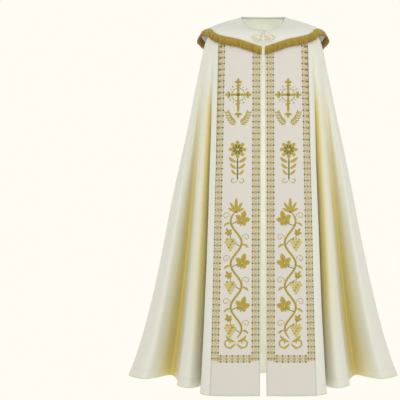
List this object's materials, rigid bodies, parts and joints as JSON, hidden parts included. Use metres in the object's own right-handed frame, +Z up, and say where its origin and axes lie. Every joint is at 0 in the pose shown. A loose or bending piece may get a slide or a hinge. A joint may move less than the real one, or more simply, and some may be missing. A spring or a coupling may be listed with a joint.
{
  "type": "cope vestment",
  "caption": "Full-length hooded cope, a cloak worn open down the front, with embroidered bands, a pointed fringed hood and a clasp.",
  "frame": {"origin": "middle of the neck opening, level with the points where the neck meets the shoulders", "axes": "+Z up, the wearer faces -Y, +X is the wearer's left"},
  "size_m": [1.066, 0.4856, 1.461],
  "materials": {
    "cream_cloth": "fine ivory weave with a soft sheen",
    "band_cloth": "smooth ivory weave with gold embroidery",
    "gold_fringe": "gold rayon fringe",
    "clasp_metal": "pale gilt filigree"
  },
  "bodies": {
    "root": {"cloak_front_right": "cream_cloth", "cloak_back_right": "cream_cloth", "cloak_back_left": "cream_cloth", "cloak_front_left": "cream_cloth", "band_right": "band_cloth", "band_left": "band_cloth", "hood_right": "cream_cloth", "hood_left": "cream_cloth", "hood_band": "band_cloth", "fringe_right": "gold_fringe", "fringe_left": "gold_fringe", "clasp_plate_left": "clasp_metal", "clasp_boss_left": "clasp_metal", "clasp_plate_right": "clasp_metal", "clasp_boss_right": "clasp_metal", "clasp_eye": "clasp_metal", "clasp_hook": "clasp_metal"}
  },
  "joints": []
}
